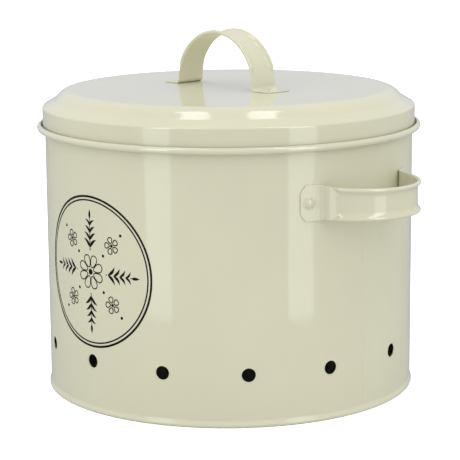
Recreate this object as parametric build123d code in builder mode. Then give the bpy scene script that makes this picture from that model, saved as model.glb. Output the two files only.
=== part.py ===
from build123d import *
from math import atan2, cos, degrees, radians, sin, sqrt
import os

os.makedirs("parts", exist_ok=True)

# Storage bin in sheet steel: round body, loose lid, three riveted strap handles.
# Frame: +Z up, origin at the middle of the footprint, front towards -Y, side handles on X.

# driving dimensions (mm)
body_r = 125.0  # outside of the wall
sheet = 0.6  # body, base and lid
play = 0.05  # between pieces that are folded or riveted together
punch = 5.0  # how far a hole's tool reaches each way

# open curl round the top of the wall: a narrow gutter that the lid stands in
gutter_z = 176.5
gutter_corner_r = 0.7
gutter_out = 3.2
curl_r = 1.9
curl_sweep = 182.0

# base seam folded round the foot of the wall, and the recessed bottom panel
seam_out = 1.05
seam_h = 2.4
seam_bottom_r = 1.1
seam_top_r = 0.75
panel_z = 4.0
panel_corner_r = 1.0
slot_z = 1.0
slot_corner_r = 0.2
chuck_corner_r = 0.5
chuck_foot_r = 0.6

# row of air holes near the base, with a wider gap at the lock seam
hole_count = 14
hole_d = 9.2
hole_z = 34.7
hole_gap = 27.5

# lock seam of the rolled wall, behind the right handle
lock_angle = -1.4
lock_w = 5.0
lock_t = 0.7
lock_clear = 0.8
groove_w = 1.0
groove_t = 0.04

# lid skin, from the bottom of the skirt up
seat_gap = 0.2
lid_out = 1.5
skirt_h = 15.2
shoulder_w = 7.75
shoulder_h = 4.6
slope_h = 6.6
slope_angle = 44.0
shoulder_r = 1.3
kink_r = 2.5
top_edge_r = 11.5

# strap pressing shared by the handles
strap = 0.8
tab_half = 11.55
neck = 1.0
corner_along = 3.4
corner_up = 5.1

# rolled long edges: full up to one angle from the middle of the arch, run out at the other
roll_r = 1.4
roll_full = 65.0
roll_end = 76.0
roll_stand = 0.03
roll_bite = 0.1

# side handles: half widths are at the foot and at the middle of the arch
side_drop = 33.4
side_arch_r = 37.7
side_arch_in = 6.3
side_foot_half = 10.9
side_mid_half = 10.2
side_bend_r = 3.0
side_tab_len = 11.8
side_rivet_in = 6.17

# lid handle, which stands a little off the middle of the lid
top_arch_x = -2.1
top_arch_up = 1.2
top_arch_r = 35.7
top_foot_half = 11.45
top_mid_half = 10.8
top_bend_r = 2.0
top_tab_len = 14.1
top_rivet_in = 7.0

# rivets
shank_d = 3.2
shank_play = 0.05
head_d = 6.4
head_h = 1.8
head_edge = 0.3
tail_d = 5.4
tail_h = 1.2
tail_gap = 0.09
rivet_corner_r = 0.1
tail_corner_r = 0.6

# body
wall_mid_r = body_r - sheet / 2
gutter_corner_z = gutter_z - gutter_corner_r
curl_mid_r = body_r + gutter_out
hole_step = (360.0 - hole_gap) / (hole_count - 1)
lock_low_z = panel_z + sheet + lock_clear
lock_high_z = gutter_corner_z - lock_clear
lock_mid_z = (lock_low_z + lock_high_z) / 2
lock_h = lock_high_z - lock_low_z

# base
seam_r = body_r + seam_out
slot_out_r = body_r + play
slot_in_r = body_r - sheet - play
chuck_r = slot_in_r - sheet

# lid
lid_r = body_r + lid_out
skirt_z = gutter_z + sheet / 2 + seat_gap
shoulder_z = skirt_z + skirt_h
kink_z = shoulder_z + shoulder_h
kink_out = lid_r - shoulder_w
lid_top_z = kink_z + slope_h
top_edge_out = kink_out - slope_h / sin(radians(slope_angle)) * cos(radians(slope_angle))

# side handle: its outer bend touches both the arch and the tab, which follows the wall
side_z = gutter_z - side_drop
side_arch_x = body_r - side_arch_in
side_mid_r = side_arch_r - strap / 2
tab_mid_r = body_r + play + strap / 2
tab_out_r = body_r + play + strap
bend_reach = side_arch_r + side_bend_r
bend_from_body = tab_out_r + side_bend_r
bend_x = (bend_from_body ** 2 - bend_reach ** 2 + side_arch_x ** 2) / (2 * side_arch_x)
bend_y = sqrt(bend_from_body ** 2 - bend_x ** 2)
bend_at_body = degrees(atan2(bend_y, bend_x))
bend_at_arch = degrees(atan2(bend_y, bend_x - side_arch_x))
tab_turn = degrees(side_tab_len / tab_mid_r)
side_tab_y = tab_mid_r * sin(radians(bend_at_body + tab_turn)) + strap / 2
side_rivet_angle = bend_at_body + degrees(side_rivet_in / tab_mid_r)
side_place = Plane(origin=(side_arch_x, 0, side_z), x_dir=(1, 0, 0), z_dir=(0, 0, 1))

# lid handle: its tabs lie flat on the lid, below the middle of its arch
top_mid_r = top_arch_r - strap / 2
top_tab_up = play + strap / 2 - top_arch_up
top_bend_up = play + strap + top_bend_r - top_arch_up
top_bend_x = sqrt((top_arch_r + top_bend_r) ** 2 - top_bend_up ** 2)
top_bend_angle = degrees(atan2(top_bend_x, top_bend_up))
top_tab_x = top_bend_x + top_tab_len
top_rivet_x = top_bend_x + top_rivet_in
top_place = Plane(origin=(top_arch_x, 0, lid_top_z + top_arch_up), x_dir=(0, 0, 1), z_dir=(0, 1, 0))

hole_fit_r = shank_d / 2 + shank_play


def at_angle(radius, angle, z):
    """Plane on the wall at this angle, looking outwards, its y axis up."""
    a = radians(angle)
    out = (cos(a), sin(a), 0)
    return Plane(origin=(radius * out[0], radius * out[1], z), x_dir=(-sin(a), cos(a), 0), z_dir=out)


def punch_wall(radius, angle, z):
    """Round hole through the wall, or through what lies on it."""
    with BuildSketch(at_angle(body_r, angle, z)) as disc:
        Circle(radius)
    extrude(disc.sketch, amount=punch, both=True, mode=Mode.SUBTRACT)


def punch_lid():
    """The two rivet holes on top of the lid."""
    with BuildSketch(Plane.XY.offset(lid_top_z)) as discs:
        with Locations((top_arch_x + top_rivet_x, 0), (top_arch_x - top_rivet_x, 0)):
            Circle(hole_fit_r)
    extrude(discs.sketch, amount=punch, both=True, mode=Mode.SUBTRACT)


def half_width(arch_r, foot, halves, reach):
    """Half width of an arch over its rolled edges, at this reach from the arch's centre."""
    foot_half, mid_half = halves
    return foot_half + (mid_half - foot_half) * (reach - foot) / (arch_r - foot)


def roll_radius(angle):
    """Radius of a rolled edge: full over the arch, then evenly down to the bare edge at its feet."""
    share = max(0, abs(angle) - roll_full) / (roll_end - roll_full)
    return roll_r + (strap / 2 + play - roll_r) * share


def roll_plane(place, arch_r, foot, halves, side, angle):
    """Cross section of a rolled edge: its inner side is flush with the inside of the strap."""
    a = radians(angle)
    radius = roll_radius(angle)
    mid_r = arch_r - strap + radius + roll_stand
    across = side * (half_width(arch_r, foot, halves, arch_r * cos(a)) - radius)
    spot = place.from_local_coords(Vector(mid_r * cos(a), mid_r * sin(a), across))
    centre = place.from_local_coords(Vector(0, 0, across))
    along = place.from_local_coords(Vector(-sin(a), cos(a), across)) - centre
    return Plane(origin=spot, x_dir=spot - centre, z_dir=along)


def trim_strap(place, arch_r, foot, halves, bend_up, bend_r):
    """Give the strap its outline: full width at the tabs, narrower over the arch."""
    outline = [(-arch_r, tab_half), (bend_up - bend_r, tab_half), (bend_up + neck, halves[0])]
    # the flat of the arch ends inside its rolled edges
    for angle, inset in ((roll_end, roll_bite), (roll_full, roll_r - roll_bite), (0, roll_r - roll_bite)):
        reach = arch_r * cos(radians(angle))
        outline.append((reach, half_width(arch_r, foot, halves, reach) - inset))
    outline.append((2 * arch_r, halves[1] - roll_r + roll_bite))
    with BuildSketch(Plane(origin=place.origin, x_dir=place.x_dir, z_dir=place.y_dir)) as shape:
        with BuildLine():
            other = [(reach, -half) for reach, half in reversed(outline)]
            Polyline(outline + other + outline[:1])
        make_face()
    extrude(shape.sketch, amount=2 * arch_r, both=True, mode=Mode.INTERSECT)


def cut_corners(place, arch_r, tab_end):
    """Cut the four outer corners of the two tabs."""
    corner = [(tab_end, tab_half - corner_up), (tab_end - corner_along, tab_half)]
    corner += [(tab_end - corner_along, 2 * tab_half), (2 * tab_end, 2 * tab_half)]
    corner += [(2 * tab_end, tab_half - corner_up), corner[0]]
    for way in (1, -1):
        for side in (1, -1):
            with BuildSketch(Plane(origin=place.origin, x_dir=place.y_dir, z_dir=place.x_dir)) as offcut:
                with BuildLine():
                    Polyline([(way * along, side * across) for along, across in corner])
                make_face()
            extrude(offcut.sketch, amount=arch_r, both=True, mode=Mode.SUBTRACT)


def roll_edges(place, arch_r, foot, halves):
    """Roll both long edges of an arch outwards, running out near its feet."""
    for side in (1, -1):
        for first, last in ((-roll_end, -roll_full), (-roll_full, roll_full), (roll_full, roll_end)):
            start = roll_plane(place, arch_r, foot, halves, side, first)
            end = roll_plane(place, arch_r, foot, halves, side, last)
            middle = roll_plane(place, arch_r, foot, halves, side, (first + last) / 2)
            with BuildLine():
                path = ThreePointArc(start.origin, middle.origin, end.origin)
            with BuildSketch(start) as near_end:
                Circle(roll_radius(first))
            with BuildSketch(end) as far_end:
                Circle(roll_radius(last))
            sweep([near_end.sketch, far_end.sketch], path=path, multisection=True)


def set_rivet(face, grip):
    """Rivet through the sheets below this plane: domed head above it, formed tail under the grip."""
    cap_h = head_h - head_edge
    dome_r = ((head_d / 2) ** 2 + cap_h ** 2) / (2 * cap_h)
    dome_z = play + head_h - dome_r
    edge_angle = degrees(atan2(play + head_edge - dome_z, head_d / 2))
    with BuildSketch(Plane(origin=face.origin, x_dir=face.x_dir, z_dir=-face.y_dir)) as half:
        with BuildLine():
            dome = CenterArc((0, dome_z), dome_r, 90, edge_angle - 90)
            rest = FilletPolyline(
                dome @ 1, (head_d / 2, play), (shank_d / 2, play), (shank_d / 2, -grip),
                (tail_d / 2, -grip), (tail_d / 2, -grip - tail_h), (0, -grip - tail_h),
                radius=[rivet_corner_r, shank_play, shank_play, rivet_corner_r, tail_corner_r],
            )
            Line(rest @ 1, dome @ 0)
        make_face()
    revolve(half.sketch, axis=Axis(face.origin, face.z_dir))


# body: rolled wall with its open curl, air holes and lock seam
with BuildPart() as bin_body:
    with BuildSketch(Plane.XZ):
        with BuildLine():
            Line((wall_mid_r, slot_z + play + sheet / 2), (wall_mid_r, gutter_corner_z))
            CenterArc((wall_mid_r + gutter_corner_r, gutter_corner_z), gutter_corner_r, 180, -90)
            Line((wall_mid_r + gutter_corner_r, gutter_z), (curl_mid_r, gutter_z))
            CenterArc((curl_mid_r, gutter_z + curl_r), curl_r, -90, curl_sweep)
            offset(amount=sheet / 2, side=Side.BOTH)
        make_face()
    revolve(axis=Axis.Z)
    # folded strip of the lock seam inside the wall
    with BuildSketch(at_angle(0, lock_angle, lock_mid_z)):
        Rectangle(lock_w, lock_h)
    extrude(amount=wall_mid_r)
    with BuildSketch(Plane.XY.offset(lock_mid_z)):
        Circle(body_r - sheet - lock_t)
    extrude(amount=lock_h, both=True, mode=Mode.SUBTRACT)
    # its shallow line outside
    with BuildSketch(at_angle(body_r - groove_t, lock_angle, lock_mid_z)):
        Rectangle(groove_w, lock_h)
    extrude(amount=sheet, mode=Mode.SUBTRACT)
    for i in range(hole_count):
        punch_wall(hole_d / 2, hole_gap / 2 + i * hole_step, hole_z)
    for angle in (side_rivet_angle, -side_rivet_angle):
        punch_wall(hole_fit_r, angle, side_z)
        punch_wall(hole_fit_r, 180 + angle, side_z)
bin_body.part.label = "bin_body"
export_step(bin_body.part, "parts/bin_body.step")

# base: recessed bottom, rolled round the foot of the wall
with BuildPart() as base_pan:
    with BuildSketch(Plane.XZ):
        with BuildLine():
            section = FilletPolyline(
                (0, panel_z), (chuck_r, panel_z), (chuck_r, 0), (seam_r, 0), (seam_r, seam_h),
                (slot_out_r, seam_h), (slot_out_r, slot_z), (slot_in_r, slot_z),
                (slot_in_r, panel_z + sheet), (0, panel_z + sheet),
                radius=[
                    chuck_corner_r, chuck_foot_r, seam_bottom_r, seam_top_r,
                    slot_corner_r, slot_corner_r, slot_corner_r, panel_corner_r,
                ],
            )
            Line(section @ 1, section @ 0)
        make_face()
    revolve(axis=Axis.Z)
base_pan.part.label = "base_pan"
export_step(base_pan.part, "parts/base_pan.step")

# lid: one pressed sheet with a flat top, two slopes and a straight skirt
with BuildPart() as lid_shell:
    with BuildSketch(Plane.XZ):
        with BuildLine():
            skin = FilletPolyline(
                (0, lid_top_z), (top_edge_out, lid_top_z), (kink_out, kink_z),
                (lid_r, shoulder_z), (lid_r, skirt_z),
                radius=[top_edge_r, kink_r, shoulder_r],
            )
            offset(skin, amount=sheet, side=Side.RIGHT, closed=True, mode=Mode.ADD)
        make_face()
    revolve(axis=Axis.Z)
    punch_lid()
lid_shell.part.label = "lid_shell"
export_step(lid_shell.part, "parts/lid_shell.step")

# right side handle: bent strap, narrowing to its middle, long edges rolled outwards
with BuildPart() as side_handle_right:
    with BuildSketch(Plane.XY.offset(side_z)):
        with BuildLine():
            CenterArc((side_arch_x, 0), side_mid_r, -bend_at_arch, 2 * bend_at_arch)
            for way in (1, -1):
                CenterArc(
                    (bend_x, way * bend_y), side_bend_r + strap / 2, 180 + way * bend_at_arch,
                    way * (bend_at_body - bend_at_arch),
                )
                CenterArc((0, 0), tab_mid_r, way * bend_at_body, way * tab_turn)
            offset(amount=strap / 2, side=Side.BOTH)
        make_face()
    extrude(amount=tab_half, both=True)
    side_foot = side_mid_r * cos(radians(bend_at_arch))
    side_halves = (side_foot_half, side_mid_half)
    trim_strap(side_place, side_arch_r, side_foot, side_halves, bend_x - side_arch_x, side_bend_r)
    cut_corners(side_place, side_arch_r, side_tab_y)
    roll_edges(side_place, side_arch_r, side_foot, side_halves)
    for angle in (side_rivet_angle, -side_rivet_angle):
        punch_wall(hole_fit_r, angle, side_z)
side_handle_right.part.label = "side_handle_right"
export_step(side_handle_right.part, "parts/side_handle_right.step")

# left side handle: the same pressing, turned half way round the body
with BuildPart() as side_handle_left:
    add(side_handle_right.part.rotate(Axis.Z, 180))
side_handle_left.part.label = "side_handle_left"
export_step(side_handle_left.part, "parts/side_handle_left.step")

# lid handle: a strap of the same make in a higher arch
with BuildPart() as lid_handle:
    with BuildSketch(top_place):
        with BuildLine():
            CenterArc((0, 0), top_mid_r, -top_bend_angle, 2 * top_bend_angle)
            for way in (1, -1):
                CenterArc(
                    (top_bend_up, way * top_bend_x), top_bend_r + strap / 2, 180 + way * top_bend_angle,
                    -way * top_bend_angle,
                )
                Line((top_tab_up, way * top_bend_x), (top_tab_up, way * (top_tab_x - strap / 2)))
            offset(amount=strap / 2, side=Side.BOTH)
        make_face()
    extrude(amount=tab_half, both=True)
    top_foot = top_mid_r * cos(radians(top_bend_angle))
    top_halves = (top_foot_half, top_mid_half)
    trim_strap(top_place, top_arch_r, top_foot, top_halves, top_bend_up, top_bend_r)
    cut_corners(top_place, top_arch_r, top_tab_x)
    roll_edges(top_place, top_arch_r, top_foot, top_halves)
    punch_lid()
lid_handle.part.label = "lid_handle"
export_step(lid_handle.part, "parts/lid_handle.step")

# rivets: four through the side handles' tabs and the wall, two through the lid handle's tabs and the lid
side_grip = strap + play + sheet + tail_gap
top_grip = strap + play + sheet + play
top_tab_z = lid_top_z + play + strap
rivets = {
    "handle_rivet_right_front": (at_angle(tab_out_r, -side_rivet_angle, side_z), side_grip),
    "handle_rivet_right_back": (at_angle(tab_out_r, side_rivet_angle, side_z), side_grip),
    "handle_rivet_left_front": (at_angle(tab_out_r, 180 + side_rivet_angle, side_z), side_grip),
    "handle_rivet_left_back": (at_angle(tab_out_r, 180 - side_rivet_angle, side_z), side_grip),
    "lid_rivet_right": (Plane(origin=(top_arch_x + top_rivet_x, 0, top_tab_z)), top_grip),
    "lid_rivet_left": (Plane(origin=(top_arch_x - top_rivet_x, 0, top_tab_z)), top_grip),
}
for name, (face, grip) in rivets.items():
    with BuildPart() as rivet:
        set_rivet(face, grip)
    rivet.part.label = name
    export_step(rivet.part, f"parts/{name}.step")
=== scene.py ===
from math import acos, atan2, cos, degrees, pi, radians, sin, sqrt

import bmesh
import bpy
from mathutils import Matrix, Vector


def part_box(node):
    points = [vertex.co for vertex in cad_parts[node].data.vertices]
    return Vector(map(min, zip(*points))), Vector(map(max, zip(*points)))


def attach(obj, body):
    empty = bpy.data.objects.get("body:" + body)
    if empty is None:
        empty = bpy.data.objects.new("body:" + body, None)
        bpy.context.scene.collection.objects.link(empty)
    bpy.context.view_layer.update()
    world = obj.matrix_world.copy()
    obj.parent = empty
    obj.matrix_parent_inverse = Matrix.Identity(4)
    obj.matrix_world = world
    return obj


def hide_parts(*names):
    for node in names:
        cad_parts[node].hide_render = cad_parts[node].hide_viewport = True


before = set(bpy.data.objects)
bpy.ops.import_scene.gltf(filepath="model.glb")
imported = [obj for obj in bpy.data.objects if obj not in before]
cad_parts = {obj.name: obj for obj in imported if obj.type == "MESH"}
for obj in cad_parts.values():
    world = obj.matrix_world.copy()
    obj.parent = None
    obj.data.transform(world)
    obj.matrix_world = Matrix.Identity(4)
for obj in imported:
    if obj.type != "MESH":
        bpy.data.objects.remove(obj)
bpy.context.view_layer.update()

MM = 0.001

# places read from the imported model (mm)
lid_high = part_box("lid_shell")[1] / MM
side_low, side_high = [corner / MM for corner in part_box("side_handle_right")]
LID_TOP = lid_high.z
SIDE_Z = (side_low.z + side_high.z) / 2

# sizes shared with the model: wall radius, thickness of its sheet, play between pieces (mm)
BODY_R = 125.0
SHEET = 0.6
PLAY = 0.05

# strap pressing shared by the three handles (mm)
STRAP = 0.8
TAB_HALF = 11.55
NECK = 1.0
CORNER_ALONG = 3.4
CORNER_UP = 5.1
CORNER_SOFT = 0.3
END_ROUND = 0.35
ROLL_R = 1.4
ROLL_HOLLOW = 4.5

# where the rolled edges begin to run out and end, in degrees from the middle of the arch
ROLL_FULL = 65.0
ROLL_END = 76.0

# how finely the strap is meshed: steps across its section, then along its way
FLAT_STEPS = 4
HOLLOW_STEPS = 6
ROLL_STEPS = 22
ARCH_STEPS = 72
BEND_STEPS = 14
TAB_STEPS = 12
CORNER_STEPS = 6
END_STEPS = 5


# ---------------------------------------------------------------- meshes

def smoothstep(low, high, x):
    """A share that rises softly from 0 at low to 1 at high."""
    t = min(1.0, max(0.0, (x - low) / (high - low)))
    return t * t * (3 - 2 * t)


def add_object(name, verts, faces):
    """A smooth mesh object from points in millimetres, its faces turned outwards."""
    mesh = bpy.data.meshes.new(name)
    mesh.from_pydata([[c * MM for c in v] for v in verts], [], faces)
    bm = bmesh.new()
    bm.from_mesh(mesh)
    bmesh.ops.remove_doubles(bm, verts=bm.verts, dist=1e-7)
    bmesh.ops.recalc_face_normals(bm, faces=bm.faces)
    bm.to_mesh(mesh)
    bm.free()
    mesh.shade_smooth()
    obj = bpy.data.objects.new(name, mesh)
    bpy.context.scene.collection.objects.link(obj)
    return obj


def axes_at(x_axis, y_axis, z_axis, spot):
    """Matrix that puts an object's axes along these directions, at this spot."""
    place = Matrix((x_axis, y_axis, z_axis)).transposed().to_4x4()
    place.translation = spot
    return place


def arc(centre, radius, start, end, steps):
    """Points on an arc, angles in degrees, both ends included."""
    points = []
    for i in range(steps + 1):
        a = radians(start + (end - start) * i / steps)
        points.append((centre[0] + radius * cos(a), centre[1] + radius * sin(a)))
    return points


def skin(verts, faces, rows, closed_rows, closed_ring):
    """Adds rows of points, joined by quads along each row and from row to row."""
    base = len(verts)
    count = len(rows[0])
    for row in rows:
        verts.extend(row)
    for i in range(len(rows) if closed_rows else len(rows) - 1):
        here = base + i * count
        there = base + (i + 1) % len(rows) * count
        for k in range(count if closed_ring else count - 1):
            n = (k + 1) % count
            faces.append([here + k, here + n, there + n, there + k])


def lathe(name, outline, place, steps, closed=False):
    """Turns an outline of (radius, height) points round the z axis of place."""
    rows = []
    for i in range(steps):
        a = 2 * pi * i / steps
        rows.append([place @ Vector((r * cos(a), r * sin(a), z)) for r, z in outline])
    verts, faces = [], []
    skin(verts, faces, rows, True, closed)
    return add_object(name, verts, faces)


def strap_section(half, thick, roll):
    """Closed outline across a strap, as (across, out) points. thick is half the strap's thickness.

    roll runs from 0, where the long edge is bare, to 1, where it is fully rolled.
    """
    edge_r = thick + (ROLL_R - STRAP / 2) * roll
    centre_u = half - edge_r
    centre_v = -thick + edge_r
    rise = thick + ROLL_HOLLOW - centre_v
    reach = sqrt(max(0.0, (edge_r + ROLL_HOLLOW) ** 2 - rise ** 2))
    hollow_u = centre_u - reach
    touch = degrees(atan2(rise, -reach))
    right = [(hollow_u * k / FLAT_STEPS, thick) for k in range(1, FLAT_STEPS)]
    right += arc((hollow_u, thick + ROLL_HOLLOW), ROLL_HOLLOW, -90, touch - 180, HOLLOW_STEPS)
    right += arc((centre_u, centre_v), edge_r, touch, -90, ROLL_STEPS)[1:]
    right += [(centre_u * k / FLAT_STEPS, -thick) for k in reversed(range(1, FLAT_STEPS))]
    left = [(-u, v) for u, v in reversed(right)]
    return [(0.0, thick)] + right + [(0.0, -thick)] + left


def tab_width(left):
    """Half width of a tab this far from its end, with softly cut corners."""
    if left > CORNER_ALONG + CORNER_SOFT:
        return TAB_HALF
    slant = CORNER_UP / CORNER_ALONG
    if left < CORNER_ALONG - CORNER_SOFT:
        return TAB_HALF - slant * (CORNER_ALONG - left)
    into = CORNER_ALONG + CORNER_SOFT - left
    return TAB_HALF - slant * into ** 2 / (4 * CORNER_SOFT)


def tab_stops(tab_point, tab_len):
    """Stops along a tab: even steps, closer ones along the cut corners, then the rounded end."""
    marks = [tab_len * k / TAB_STEPS for k in range(TAB_STEPS * 3 // 4)]
    marks += [tab_len - CORNER_ALONG - CORNER_SOFT * k / 2 for k in (2, 1, 0, -1, -2)]
    marks += [tab_len - CORNER_ALONG * k / CORNER_STEPS for k in range(1, CORNER_STEPS)]
    stops = []
    for s in sorted(m for m in marks if m < tab_len - END_ROUND):
        point, out = tab_point(s)
        stops.append((point, out, tab_width(tab_len - s), STRAP / 2, 0.0))
    for k in range(END_STEPS + 1):
        a = radians(90 * k / END_STEPS)
        point, out = tab_point(tab_len - END_ROUND + END_ROUND * sin(a))
        cut = END_ROUND * (1 - cos(a))
        stops.append((point, out, tab_width(END_ROUND * (1 - sin(a))) - cut, STRAP / 2 - cut, 0.0))
    return stops


def strap_half(arch_r, halves, bend_r, bend_spot, tab_angle, tab_point, tab_len):
    """Half of a strap's way, from the middle of its arch to the end of a tab.

    Places are (u, w) from the arch's centre: u towards the arch's middle, w towards the tab.
    Each stop has its point, its outward direction, its half width, half thickness and roll.
    """
    mid_r = arch_r - STRAP / 2
    bend_u, bend_w = bend_spot
    foot_angle = degrees(atan2(bend_w, bend_u))
    foot_u = mid_r * cos(radians(foot_angle))
    foot_half, mid_half = halves

    def width_at(u):
        linear = foot_half + (mid_half - foot_half) * max(0.0, (u - foot_u) / (arch_r - foot_u))
        share = smoothstep(bend_u - bend_r, bend_u + NECK, u)
        return TAB_HALF + (linear - TAB_HALF) * share

    stops = []
    for i in range(ARCH_STEPS):
        angle = foot_angle * i / ARCH_STEPS
        out = (cos(radians(angle)), sin(radians(angle)))
        roll = 1 - smoothstep(ROLL_FULL, ROLL_END, angle)
        u = mid_r * out[0]
        stops.append(((u, mid_r * out[1]), out, width_at(u), STRAP / 2, roll))
    bend_mid = bend_r + STRAP / 2
    for i in range(BEND_STEPS):
        angle = 180 + foot_angle + (tab_angle - foot_angle) * i / BEND_STEPS
        way = (cos(radians(angle)), sin(radians(angle)))
        u = bend_u + bend_mid * way[0]
        stops.append(((u, bend_w + bend_mid * way[1]), (-way[0], -way[1]), width_at(u), STRAP / 2, 0.0))
    return stops + tab_stops(tab_point, tab_len)


def strap_handle(name, half_stops, to_point):
    """A whole strap handle: both halves of its way, each stop with a section across it.

    to_point turns (u, w, across) into a place on the object, in millimetres.
    """
    stops = []
    for (u, w), (out_u, out_w), *rest in reversed(half_stops):
        stops.append(((u, -w), (out_u, -out_w), *rest))
    stops += half_stops[1:]
    rows = []
    for (u, w), (out_u, out_w), half, thick, roll in stops:
        section = strap_section(half, thick, roll)
        rows.append([to_point(u + out_u * out, w + out_w * out, across) for across, out in section])
    verts, faces = [], []
    skin(verts, faces, rows, False, True)
    # the two ends, filled with strips from one side of the section to the other
    count = len(rows[0])
    for start in (0, (len(rows) - 1) * count):
        for k in range(count // 2):
            ring = [start + n % count for n in (k, k + 1, count - k - 1, count - k)]
            faces.append(list(dict.fromkeys(ring)))
    return add_object(name, verts, faces)


# ---------------------------------------------------------------- materials

CREAM = (0.640, 0.625, 0.470)
INK = (0.007, 0.0055, 0.0045)
ENAMEL_ROUGH = 0.08
ENAMEL_DRIFT = 0.03
CLOUD_SCALE = 9.0
HAZE_SCALE = 22.0
PEEL_SCALE = 420.0


def node_input(node, name, value):
    node.inputs[name].default_value = value


def noise(tree, coords, scale, detail):
    """The value of a noise that is fixed to the object."""
    node = tree.nodes.new("ShaderNodeTexNoise")
    node_input(node, "Scale", scale)
    node_input(node, "Detail", detail)
    tree.links.new(coords.outputs["Object"], node.inputs["Vector"])
    return node.outputs["Fac"]


def enamel(name, colour, peel=0.012):
    """Glossy stoved enamel: faint cloudiness in colour and gloss, faint orange peel in the skin."""
    mat = bpy.data.materials.new(name)
    mat.use_nodes = True
    tree = mat.node_tree
    nodes, links = tree.nodes, tree.links
    shader = nodes["Principled BSDF"]
    coords = nodes.new("ShaderNodeTexCoord")

    tint = nodes.new("ShaderNodeValToRGB")
    darker, lighter = tint.color_ramp.elements
    darker.position = 0.3
    lighter.position = 0.7
    darker.color = [c * (1 - ENAMEL_DRIFT) for c in colour] + [1]
    lighter.color = [c * (1 + ENAMEL_DRIFT) for c in colour] + [1]
    links.new(noise(tree, coords, CLOUD_SCALE, 3.0), tint.inputs["Fac"])
    links.new(tint.outputs["Color"], shader.inputs["Base Color"])

    rough = nodes.new("ShaderNodeMapRange")
    node_input(rough, "To Min", ENAMEL_ROUGH * 0.85)
    node_input(rough, "To Max", ENAMEL_ROUGH * 1.2)
    links.new(noise(tree, coords, HAZE_SCALE, 4.0), rough.inputs["Value"])
    links.new(rough.outputs["Result"], shader.inputs["Roughness"])

    bump = nodes.new("ShaderNodeBump")
    node_input(bump, "Strength", peel)
    node_input(bump, "Distance", 0.001)
    links.new(noise(tree, coords, PEEL_SCALE, 1.0), bump.inputs["Height"])
    links.new(bump.outputs["Normal"], shader.inputs["Normal"])
    return mat


def plain(name, colour, roughness, gloss=0.5):
    mat = bpy.data.materials.new(name)
    mat.use_nodes = True
    shader = mat.node_tree.nodes["Principled BSDF"]
    node_input(shader, "Base Color", (*colour, 1))
    node_input(shader, "Roughness", roughness)
    node_input(shader, "Specular IOR Level", gloss)
    return mat


body_paint = enamel("body_enamel", CREAM)
lid_paint = enamel("lid_enamel", CREAM)
handle_paint = enamel("handle_enamel", CREAM, peel=0.02)
rivet_paint = enamel("rivet_enamel", CREAM, peel=0.03)
ink = plain("roundel_ink", INK, roughness=0.4, gloss=0.12)


def paint(obj, material):
    obj.data.materials.clear()
    obj.data.materials.append(material)


def dress(obj, material, body, node=None):
    """Paint a piece, fix it to its body and replace the node that it stands in for."""
    paint(obj, material)
    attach(obj, body)
    if node:
        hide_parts(node)


paint(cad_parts["bin_body"], body_paint)
paint(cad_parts["base_pan"], body_paint)
paint(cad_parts["lid_shell"], lid_paint)

# ---------------------------------------------------------------- handles

# side handles: the arch's centre lies inside the wall, and half widths are at its feet and middle (mm)
SIDE_ARCH_IN = 6.3
SIDE_ARCH_R = 37.7
SIDE_HALVES = (10.9, 10.2)
SIDE_BEND_R = 3.0
SIDE_TAB_LEN = 11.8 + STRAP / 2
SIDE_RIVET_IN = 6.17

# lid handle: the arch's centre is off the middle of the lid and above it (mm)
TOP_ARCH_X = -2.1
TOP_ARCH_UP = 1.2
TOP_ARCH_R = 35.7
TOP_HALVES = (11.45, 10.8)
TOP_BEND_R = 2.0
TOP_TAB_LEN = 14.1
TOP_RIVET_IN = 7.0

# the side handles' bend touches both the arch and the tab, which follows the wall
arch_x = BODY_R - SIDE_ARCH_IN
tab_out_r = BODY_R + PLAY + STRAP
tab_mid_r = BODY_R + PLAY + STRAP / 2
from_body = tab_out_r + SIDE_BEND_R
from_arch = SIDE_ARCH_R + SIDE_BEND_R
bend_x = (from_body ** 2 - from_arch ** 2 + arch_x ** 2) / (2 * arch_x)
bend_y = sqrt(from_body ** 2 - bend_x ** 2)
bend_at_body = degrees(atan2(bend_y, bend_x))


def side_tab_point(s):
    a = radians(bend_at_body) + s / tab_mid_r
    return (tab_mid_r * cos(a) - arch_x, tab_mid_r * sin(a)), (cos(a), sin(a))


side_stops = strap_half(
    SIDE_ARCH_R, SIDE_HALVES, SIDE_BEND_R, (bend_x - arch_x, bend_y),
    bend_at_body, side_tab_point, SIDE_TAB_LEN,
)

# the lid handle's bend touches the arch and the flat tab
top_bend_up = PLAY + STRAP + TOP_BEND_R - TOP_ARCH_UP
top_bend_x = sqrt((TOP_ARCH_R + TOP_BEND_R) ** 2 - top_bend_up ** 2)


def top_tab_point(s):
    return (PLAY + STRAP / 2 - TOP_ARCH_UP, top_bend_x + s), (1.0, 0.0)


top_stops = strap_half(
    TOP_ARCH_R, TOP_HALVES, TOP_BEND_R, (top_bend_up, top_bend_x),
    0.0, top_tab_point, TOP_TAB_LEN,
)

for name, sign in (("right", 1), ("left", -1)):
    side_strap = strap_handle(
        f"side_strap_{name}", side_stops,
        lambda u, w, across, sign=sign: (sign * (arch_x + u), sign * w, SIDE_Z + across),
    )
    dress(side_strap, handle_paint, "bin", f"side_handle_{name}")

lid_strap = strap_handle(
    "lid_strap", top_stops, lambda u, w, across: (TOP_ARCH_X + w, across, LID_TOP + TOP_ARCH_UP + u)
)
dress(lid_strap, handle_paint, "lid", "lid_handle")

# ---------------------------------------------------------------- rivets

# domed head, shank and formed tail (mm)
HEAD_R = 3.2
HEAD_H = 1.8
HEAD_EDGE = 0.35
SHANK_R = 1.6
TAIL_R = 2.7
TAIL_H = 1.2
TAIL_CUT = 0.3
TAIL_END_CUT = 0.5
TAIL_GAP = 0.09
DOME_STEPS = 14
RIVET_STEPS = 48

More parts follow.
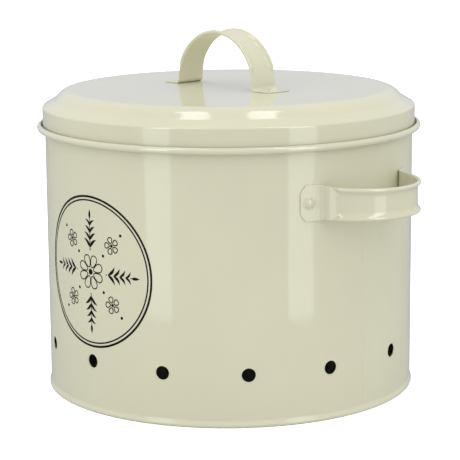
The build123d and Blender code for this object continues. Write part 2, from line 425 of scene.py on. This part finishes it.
# paint gathered round the head in a small hollow, which thins out over the strap (mm)
PAINT_FOOT = 0.9
PAINT_DROP = 0.05
PAINT_END = 250
PAINT_THIN = 0.02
PAINT_FADE = 0.5
PAINT_STEPS = 6


def rivet_outline(grip):
    """Painted rivet from the top of its dome down to its formed tail."""
    cap = HEAD_H - HEAD_EDGE
    dome_r = (HEAD_R ** 2 + cap ** 2) / (2 * cap)
    points = arc((0, HEAD_H - dome_r), dome_r, 90, degrees(acos(HEAD_R / dome_r)), DOME_STEPS)
    points[0] = (0.0, HEAD_H)
    hollow = (HEAD_R + PAINT_FOOT, HEAD_EDGE - PAINT_DROP)
    points += arc(hollow, PAINT_FOOT, 180, PAINT_END, PAINT_STEPS)[1:]
    faded = points[-1][0] + PAINT_FADE
    points = [(r, max(z, PAINT_THIN)) if r > HEAD_R else (r, z) for r, z in points]
    tail_end = -grip - TAIL_H
    points += [(faded, PAINT_THIN / 2), (faded, -PAINT_THIN)]
    points += [(SHANK_R, -PAINT_THIN), (SHANK_R, -grip)]
    points += [(TAIL_R - TAIL_CUT, -grip), (TAIL_R, -grip - TAIL_CUT)]
    points += [(TAIL_R, tail_end + TAIL_END_CUT), (TAIL_R - TAIL_END_CUT, tail_end), (0.0, tail_end)]
    return points


def outward_place(radius, angle, z):
    """Place this far from the bin's axis at this angle in degrees, its z axis pointing outwards."""
    a = radians(angle)
    out = Vector((cos(a), sin(a), 0))
    along = Vector((-sin(a), cos(a), 0))
    return axes_at(along, Vector((0, 0, 1)), out, out * radius + Vector((0, 0, z)))


def add_rivet(name, place, grip, body):
    rivet = lathe(name + "_painted", rivet_outline(grip), place, RIVET_STEPS)
    dress(rivet, rivet_paint, body, name)


side_rivet = bend_at_body + degrees(SIDE_RIVET_IN / tab_mid_r)
side_grip = STRAP + PLAY + SHEET + TAIL_GAP
for side, middle, sign in (("right", 0, 1), ("left", 180, -1)):
    for end, way in (("front", -1), ("back", 1)):
        place = outward_place(tab_out_r, middle + sign * way * side_rivet, SIDE_Z)
        add_rivet(f"handle_rivet_{side}_{end}", place, side_grip, "bin")

top_rivet = top_bend_x + TOP_RIVET_IN
top_grip = STRAP + PLAY + SHEET + PLAY
for side, sign in (("right", 1), ("left", -1)):
    place = Matrix.Translation((TOP_ARCH_X + sign * top_rivet, 0, LID_TOP + PLAY + STRAP))
    add_rivet(f"lid_rivet_{side}", place, top_grip, "lid")

# ---------------------------------------------------------------- enamel gathered at edges

# flare at the foot: its radius, where it begins and is full, and how it lies in the metal (mm)
FOOT_R = 126.05
FOOT_TOP = 4.9
FOOT_FULL = 1.5
FOOT_FILM = 0.01
FOOT_SUNK = 0.2
FOOT_UNDER = 0.3
FOOT_STEPS = 12
ROUND_STEPS = 360

# air holes (mm, and degrees for the wider gap in their row)
HOLE_R = 4.6
HOLE_Z = 34.7
HOLE_COUNT = 14
HOLE_GAP = 27.5
HOLE_STEPS = 40


def on_wall(angle, z, lift):
    """Place on the wall at this angle, in radians."""
    return ((BODY_R + lift) * cos(angle), (BODY_R + lift) * sin(angle), z)


def foot_flare():
    """Enamel that fills the corner between the wall and the base seam."""
    outline = []
    for i in range(FOOT_STEPS + 1):
        z = FOOT_TOP + (FOOT_FULL - FOOT_TOP) * i / FOOT_STEPS
        spread = 1 - smoothstep(FOOT_FULL, FOOT_TOP, z)
        outline.append((BODY_R + FOOT_FILM + (FOOT_R - BODY_R) * spread, z))
    outline.append((FOOT_R - FOOT_SUNK, FOOT_FULL - FOOT_UNDER))
    outline += [(BODY_R - FOOT_SUNK, FOOT_FULL), (BODY_R - FOOT_SUNK, FOOT_TOP)]
    return lathe("foot_flare", outline, Matrix.Identity(4), ROUND_STEPS, closed=True)


def hole_rims():
    """A soft lip of enamel round the cut edge of each air hole."""
    # the lip's outline, as (out from the cut edge, out from the wall)
    lip = [(0.75, 0.0), (0.45, 0.05), (0.2, 0.1), (0.0, 0.09), (-0.1, -0.03), (-0.12, -0.3)]
    lip += [(-0.1, -SHEET + 0.02), (0.3, -SHEET + 0.1), (0.6, -0.2)]
    verts, faces = [], []
    for i in range(HOLE_COUNT):
        middle = radians(HOLE_GAP / 2 + i * (360 - HOLE_GAP) / (HOLE_COUNT - 1))
        rows = []
        for k in range(HOLE_STEPS):
            a = 2 * pi * k / HOLE_STEPS
            row = []
            for out, lift in lip:
                along, rise = (HOLE_R + out) * cos(a), (HOLE_R + out) * sin(a)
                row.append(on_wall(middle + along / BODY_R, HOLE_Z + rise, lift))
            rows.append(row)
        skin(verts, faces, rows, True, True)
    return add_object("hole_rims", verts, faces)


dress(foot_flare(), body_paint, "bin")
dress(hole_rims(), body_paint, "bin")

# ---------------------------------------------------------------- printed roundel

# place on the wall, in degrees from the front and mm, and the ink's depth and line width (mm)
LABEL_AT = -0.6
LABEL_Z = 94.2
PRINT_PROUD = 0.045
PRINT_SUNK = 0.03
LINE = 0.7

# rings as (radius, line width), then a leaf's and a petal's proportions (mm, degrees and shares)
RINGS = ((49.35, 1.45), (46.95, 1.0))
RING_STEPS = 180
LEAF_LONG = 8.2
LEAF_WIDE = 2.0
LEAF_TURN = 46
LEAF_BEND = 0.9
LEAF_SHRINK = 0.4
LEAF_POINT = 0.1
LEAF_STEPS = 14
STEM_BARE = 2
PETAL_FLARE = 0.35
PETAL_STEPS = 28
SEED_SHARE = 0.62
DOT_R = 1.0
DOT_STEPS = 12
print_verts, print_faces = [], []


def stroke(points, widths, closed=False):
    """A printed line along points of the label, with a width at each, as a thin raised band."""
    count = len(points)
    rows = []
    for i, (s, z) in enumerate(points):
        before = points[i - 1] if closed or i > 0 else points[i]
        after = points[(i + 1) % count] if closed or i < count - 1 else points[i]
        ds, dz = after[0] - before[0], after[1] - before[1]
        length = sqrt(ds * ds + dz * dz)
        ns, nz = -dz / length * widths[i] / 2, ds / length * widths[i] / 2
        rows.append([
            on_wall(radians(-90 + LABEL_AT) + (s + side * ns) / BODY_R, LABEL_Z + z + side * nz, lift)
            for side, lift in ((1, -PRINT_SUNK), (1, PRINT_PROUD), (-1, PRINT_PROUD), (-1, -PRINT_SUNK))
        ])
    skin(print_verts, print_faces, rows, closed, True)


def polar(radius, angle):
    return radius * cos(radians(angle)), radius * sin(radians(angle))


def leaf(root, angle, length, width, bend):
    """A solid leaf with pointed ends, its middle swung to one side by bend."""
    along, across = polar(1, angle), polar(1, angle + 90)
    points, widths = [], []
    for i in range(LEAF_STEPS + 1):
        t = i / LEAF_STEPS
        swing = bend * sin(pi * t)
        points.append(tuple(root[n] + along[n] * length * t + across[n] * swing for n in (0, 1)))
        widths.append(LEAF_POINT + width * sin(pi * t ** 0.8))
    stroke(points, widths)


def sprig(angle, start, end, pairs):
    """A straight stem with pairs of leaves that grow smaller, and a leaf at its tip."""
    stroke([polar(start, angle), polar(end, angle)], [LINE, LINE * 0.7])
    first = start + STEM_BARE
    for k in range(pairs):
        root = polar(first + (end - first) * k / pairs, angle)
        size = 1 - LEAF_SHRINK * k / pairs
        for side in (1, -1):
            leaf(root, angle + side * LEAF_TURN, LEAF_LONG * size, LEAF_WIDE * size, -side * LEAF_BEND)
    leaf(polar(end, angle), angle, length=6.0, width=1.9, bend=0.0)


def dot(centre, radius):
    points, widths = [], []
    for i in range(DOT_STEPS + 1):
        x = -radius * cos(pi * i / DOT_STEPS)
        points.append((centre[0] + x, centre[1]))
        widths.append(2 * sqrt(max(0.0, radius * radius - x * x)) + 0.02)
    stroke(points, widths)


def flower(centre, inner, outer, petals, width):
    """A round of outlined petals about a solid middle."""
    middle, reach = (inner + outer) / 2, (outer - inner) / 2
    for k in range(petals):
        angle = 360 * k / petals + 180 / petals
        points = []
        for x, y in arc((0, 0), 1, 0, 360, PETAL_STEPS)[:-1]:
            along = polar(middle + reach * x, angle)
            across = polar(width / 2 * y * (1 + PETAL_FLARE * x), angle + 90)
            points.append((centre[0] + along[0] + across[0], centre[1] + along[1] + across[1]))
        stroke(points, [LINE] * len(points), closed=True)
    dot(centre, inner * SEED_SHARE)


def roundel():
    """Two rings round a symmetric ornament: a flower, four sprigs, four small flowers and dots."""
    for ring_r, ring_w in RINGS:
        ring = arc((0, 0), ring_r, 0, 360, RING_STEPS)[:-1]
        stroke(ring, [ring_w] * len(ring), closed=True)
    flower((0, 0), inner=3.2, outer=11.5, petals=8, width=5.2)
    for angle in (0, 90, 180, 270):
        sprig(angle, start=14, end=35, pairs=4)
    for angle in (45, 135, 225, 315):
        flower(polar(27.5, angle), inner=1.7, outer=5.6, petals=5, width=3.4)
        for reach in (17.0, 38.0):
            dot(polar(reach, angle), DOT_R)
    obj = add_object("roundel_print", print_verts, print_faces)
    obj.data.shade_flat()
    return obj


dress(roundel(), ink, "bin")

# ---------------------------------------------------------------- camera

# place and aim (mm, degrees), then the lens (mm) and its shift
VIEW_AZIMUTH = 45.4
CAMERA_OUT = 1247.3
CAMERA_UP = 351.4
CAMERA_PITCH = 11.23
CAMERA_ROLL = 0.44
LENS = 143.99
SENSOR = 36
SHIFT_X = 0.0010

turn = radians(VIEW_AZIMUTH)
pitch = radians(CAMERA_PITCH)
roll = radians(CAMERA_ROLL)
toward = Vector((sin(turn), -cos(turn), 0))
right = Vector((cos(turn), sin(turn), 0))
world_up = Vector((0, 0, 1))
back = toward * cos(pitch) + world_up * sin(pitch)
up = back.cross(right)
camera_data = bpy.data.cameras.new("camera")
camera_data.sensor_width = SENSOR
camera_data.lens = LENS
camera_data.shift_x = SHIFT_X
camera_data.clip_start = 0.05
camera_data.clip_end = 60
camera = bpy.data.objects.new("camera", camera_data)
camera.matrix_world = axes_at(
    right * cos(roll) - up * sin(roll), right * sin(roll) + up * cos(roll), back,
    (toward * CAMERA_OUT + world_up * CAMERA_UP) * MM,
)
bpy.context.scene.collection.objects.link(camera)
bpy.context.scene.camera = camera

# ---------------------------------------------------------------- light and floor

# upright strips beside the camera (m): standing this far out, split into a foot and an upper part
STRIP_OUT = 0.395
STRIP_SPLIT = 0.175
STRIP_TALL = 0.90
STRIP_UPPER_RADIANCE = 5.0

# pair of lights over the lid (m)
LID_LIGHT_UP = 1.40
LID_LIGHT_SIDE = 0.275
LID_LIGHT_TOWARD = 0.06
LID_LIGHT_WIDE = 0.24
LID_LIGHT_LONG = 0.34
LID_LIGHT_RADIANCE = 5.2

# floor (m): its colour, the glow that the lens sees added to it, and what glossy paint sees of it
FLOOR_HALF = 6.0
FLOOR_DROP = 0.0002
FLOOR_COLOUR = (0.68, 0.68, 0.69)
FLOOR_GLOW = 0.9
FLOOR_IN_GLOSS = (0.40, 0.42, 0.48)

# the world from the horizon to overhead: light for matt colour, and the room that glossy paint sees
WORLD_STRENGTH = 1.29
SOFT_LOW = (0.94, 0.95, 0.94)
SOFT_HIGH = (0.98, 0.98, 0.965)
ROOM_LOW = (0.40, 0.42, 0.50)
ROOM_BETWEEN = (0.50, 0.51, 0.62)
ROOM_HIGH = (0.52, 0.52, 0.55)
ROOM_BETWEEN_AT = 0.22


def highlight(name, place, width, tall, radiance):
    """Flat light that only the paint's reflections see, so the even light stays even."""
    light = bpy.data.lights.new(name, "AREA")
    light.shape = "RECTANGLE"
    light.size = width
    light.size_y = tall
    light.energy = radiance * pi * width * tall
    obj = bpy.data.objects.new(name, light)
    obj.matrix_world = place
    obj.visible_camera = False
    obj.visible_diffuse = False
    bpy.context.scene.collection.objects.link(obj)


def strip_light(name, angle, width, foot_radiance):
    """Upright strip on the floor, this many degrees to the right of the camera's side of the bin.

    It is dimmer at its foot, which the walls reflect, than higher up, which only rounded edges catch.
    """
    a = turn + radians(angle)
    out = Vector((sin(a), -cos(a), 0))
    across = Vector((cos(a), sin(a), 0))
    parts = (
        ("foot", 0, STRIP_SPLIT, foot_radiance),
        ("upper", STRIP_SPLIT, STRIP_TALL, STRIP_UPPER_RADIANCE),
    )
    for part, bottom, top, radiance in parts:
        place = axes_at(across, world_up, out, out * STRIP_OUT + world_up * (bottom + top) / 2)
        highlight(f"{name}_{part}", place, width, top - bottom, radiance)


strip_light("strip_left", angle=-37.2, width=0.100, foot_radiance=1.7)
strip_light("strip_right", angle=38.0, width=0.106, foot_radiance=1.9)
for side, sign in (("left", -1), ("right", 1)):
    spot = right * sign * LID_LIGHT_SIDE + toward * LID_LIGHT_TOWARD + world_up * LID_LIGHT_UP
    place = axes_at(right, -toward, world_up, spot)
    highlight(f"lid_light_{side}", place, LID_LIGHT_WIDE, LID_LIGHT_LONG, LID_LIGHT_RADIANCE)


def ray_is(tree, kind):
    """A value of 1 for rays of the named kind, else 0."""
    return tree.nodes.new("ShaderNodeLightPath").outputs[kind]


def mix_shaders(tree, share, first, second):
    """The first shader where share is 0, the second where it is 1."""
    node = tree.nodes.new("ShaderNodeMixShader")
    tree.links.new(share, node.inputs["Fac"])
    tree.links.new(first, node.inputs[1])
    tree.links.new(second, node.inputs[2])
    return node.outputs["Shader"]


def emission(tree, colour, strength=1.0):
    node = tree.nodes.new("ShaderNodeEmission")
    node_input(node, "Color", (*colour, 1))
    node_input(node, "Strength", strength)
    return node.outputs["Emission"]


def floor_look(material):
    """Matt floor that the lens sees as paper white and that glossy paint sees as a greyer studio."""
    tree = material.node_tree
    matt = tree.nodes["Principled BSDF"].outputs["BSDF"]
    seen = tree.nodes.new("ShaderNodeAddShader")
    tree.links.new(matt, seen.inputs[0])
    tree.links.new(emission(tree, (1, 1, 1), FLOOR_GLOW), seen.inputs[1])
    lens = mix_shaders(tree, ray_is(tree, "Is Camera Ray"), matt, seen.outputs["Shader"])
    look = mix_shaders(tree, ray_is(tree, "Is Glossy Ray"), lens, emission(tree, FLOOR_IN_GLOSS))
    tree.links.new(look, tree.nodes["Material Output"].inputs["Surface"])


def add_floor():
    ways = ((-1, -1), (1, -1), (1, 1), (-1, 1))
    corners = [(x * FLOOR_HALF, y * FLOOR_HALF, -FLOOR_DROP) for x, y in ways]
    mesh = bpy.data.meshes.new("floor")
    mesh.from_pydata(corners, [], [(0, 1, 2, 3)])
    material = plain("floor_matt", FLOOR_COLOUR, roughness=0.9)
    floor_look(material)
    mesh.materials.append(material)
    floor = bpy.data.objects.new("floor", mesh)
    bpy.context.scene.collection.objects.link(floor)


def height_ramp(tree, height, low, high):
    """A ramp of colours from low at the horizon to high overhead."""
    node = tree.nodes.new("ShaderNodeValToRGB")
    node.color_ramp.elements[0].color = (*low, 1)
    node.color_ramp.elements[1].color = (*high, 1)
    tree.links.new(height, node.inputs["Fac"])
    return node


def studio_world():
    """Even soft light from all round, and a dimmer, cooler room for the paint to reflect."""
    world = bpy.data.worlds.new("studio")
    world.use_nodes = True
    tree = world.node_tree
    nodes, links = tree.nodes, tree.links
    coords = nodes.new("ShaderNodeTexCoord")
    split = nodes.new("ShaderNodeSeparateXYZ")
    links.new(coords.outputs["Generated"], split.inputs["Vector"])
    soft = height_ramp(tree, split.outputs["Z"], SOFT_LOW, SOFT_HIGH)
    room = height_ramp(tree, split.outputs["Z"], ROOM_LOW, ROOM_HIGH)
    room.color_ramp.elements.new(ROOM_BETWEEN_AT).color = (*ROOM_BETWEEN, 1)
    mix = nodes.new("ShaderNodeMix")
    mix.data_type = "RGBA"
    links.new(ray_is(tree, "Is Glossy Ray"), mix.inputs["Factor"])
    links.new(soft.outputs["Color"], mix.inputs["A"])
    links.new(room.outputs["Color"], mix.inputs["B"])
    background = nodes["Background"]
    links.new(mix.outputs["Result"], background.inputs["Color"])
    node_input(background, "Strength", WORLD_STRENGTH)
    return world


add_floor()
bpy.context.scene.world = studio_world()
bpy.context.scene.view_settings.view_transform = "Standard"
